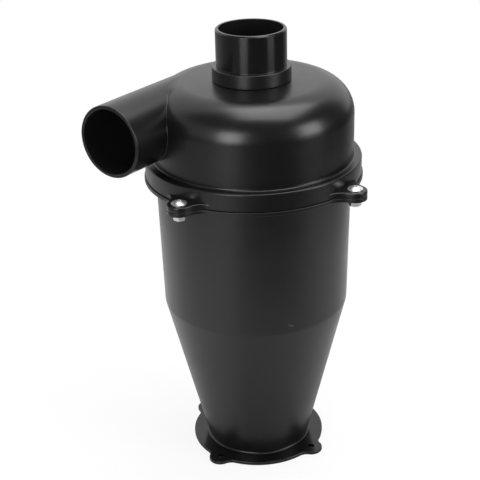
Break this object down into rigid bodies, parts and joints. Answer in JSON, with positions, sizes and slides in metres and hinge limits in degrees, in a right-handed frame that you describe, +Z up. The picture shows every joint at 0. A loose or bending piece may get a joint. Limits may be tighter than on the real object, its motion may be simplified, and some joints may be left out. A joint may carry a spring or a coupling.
{
  "type": "cyclone dust separator",
  "caption": "Conical cyclone separator with a domed head, a tangential inlet pipe, a top outlet tube and a lugged base flange.",
  "frame": {"origin": "centre of the base flange, on the plane that it stands on", "axes": "+Z up along the cyclone's axis; the inlet pipe runs along Y on the -X side, and its mouth faces -Y"},
  "size_m": [0.189, 0.1945, 0.329],
  "materials": {
    "body_plastic": "satin black moulded plastic",
    "cover_plastic": "satin black moulded plastic",
    "tube_plastic": "glossy black tube",
    "seal_rubber": "matt black rubber",
    "screw_steel": "bright zinc-plated steel",
    "nut_steel": "bright zinc-plated steel"
  },
  "bodies": {
    "root": {"body": "body_plastic", "cover": "cover_plastic", "outlet_tube": "tube_plastic", "seal_ring": "seal_rubber", "screws": "screw_steel", "nuts": "nut_steel"}
  },
  "joints": []
}
